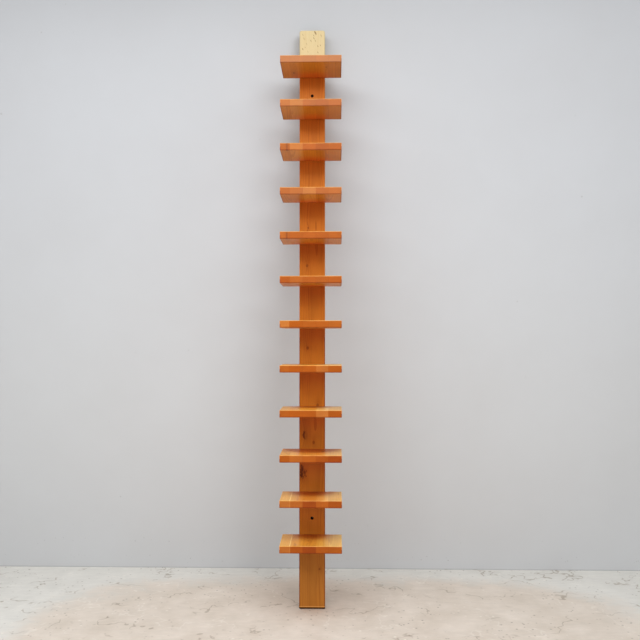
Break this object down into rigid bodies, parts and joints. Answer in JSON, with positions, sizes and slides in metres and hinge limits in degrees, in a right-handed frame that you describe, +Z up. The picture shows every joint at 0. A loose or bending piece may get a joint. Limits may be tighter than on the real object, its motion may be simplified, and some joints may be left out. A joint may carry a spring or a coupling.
{
  "type": "spine bookshelf",
  "caption": "Tall narrow bookshelf: one upright varnished pine plank carries a column of equal cantilevered shelf boards on its front face and ends in a pale bare block above the top shelf.",
  "frame": {"origin": "centre of the spine's foot, on the floor", "axes": "+Z up along the spine; +Y to the wall, out of the spine's back; -Y into the room, the way the shelves project; +X along the shelves, to the right of someone facing them"},
  "size_m": [0.24, 0.215, 2.37],
  "materials": {
    "varnished_pine": "orange clear varnish, semi-gloss, long grain upright",
    "shelf_pine": "orange clear varnish, semi-gloss, glued staves with end grain on the front edge",
    "bare_softwood": "unfinished, matt, with small dark flecks",
    "beech": "unfinished, matt",
    "zinc_plated_steel": "bright zinc plating"
  },
  "bodies": {
    "root": {"spine": "varnished_pine", "top_block": "bare_softwood", "top_block_dowels": "beech", "shelf_01": "shelf_pine", "shelf_dowels_01": "beech", "shelf_screws_01": "zinc_plated_steel", "shelf_02": "shelf_pine", "shelf_dowels_02": "beech", "shelf_screws_02": "zinc_plated_steel", "shelf_03": "shelf_pine", "shelf_dowels_03": "beech", "shelf_screws_03": "zinc_plated_steel", "shelf_04": "shelf_pine", "shelf_dowels_04": "beech", "shelf_screws_04": "zinc_plated_steel", "shelf_05": "shelf_pine", "shelf_dowels_05": "beech", "shelf_screws_05": "zinc_plated_steel", "shelf_06": "shelf_pine", "shelf_dowels_06": "beech", "shelf_screws_06": "zinc_plated_steel", "shelf_07": "shelf_pine", "shelf_dowels_07": "beech", "shelf_screws_07": "zinc_plated_steel", "shelf_08": "shelf_pine", "shelf_dowels_08": "beech", "shelf_screws_08": "zinc_plated_steel", "shelf_09": "shelf_pine", "shelf_dowels_09": "beech", "shelf_screws_09": "zinc_plated_steel", "shelf_10": "shelf_pine", "shelf_dowels_10": "beech", "shelf_screws_10": "zinc_plated_steel", "shelf_11": "shelf_pine", "shelf_dowels_11": "beech", "shelf_screws_11": "zinc_plated_steel", "shelf_12": "shelf_pine", "shelf_dowels_12": "beech", "shelf_screws_12": "zinc_plated_steel"}
  },
  "joints": []
}
